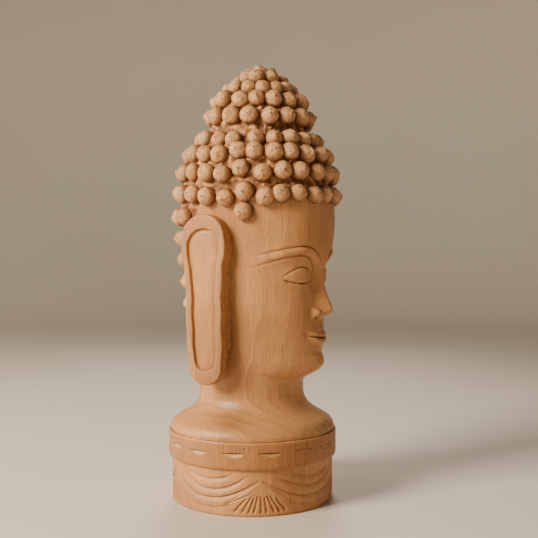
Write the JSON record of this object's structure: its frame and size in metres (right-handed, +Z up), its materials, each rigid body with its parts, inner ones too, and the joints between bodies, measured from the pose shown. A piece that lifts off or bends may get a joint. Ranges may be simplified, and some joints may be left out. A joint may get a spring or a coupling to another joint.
{
  "type": "wooden buddha head statue",
  "caption": "Carved wooden Buddha head with snail-shell curls, closed eyes and very long ears, on a round drum base with a collar ring, carved swags and pleated fans, from one log",
  "frame": {"origin": "middle of the round base's flat underside, on the turned base's axis", "axes": "+Z is up along the log, the face looks along -Y, and the figure's left ear is at +X"},
  "size_m": [0.1168, 0.1228, 0.2999],
  "materials": {
    "wood": "pale tan hardwood with soft growth rings, satin polish on the face and neck, duller in the carving and curls"
  },
  "bodies": {
    "root": {"buddha_head": "wood"}
  },
  "joints": []
}
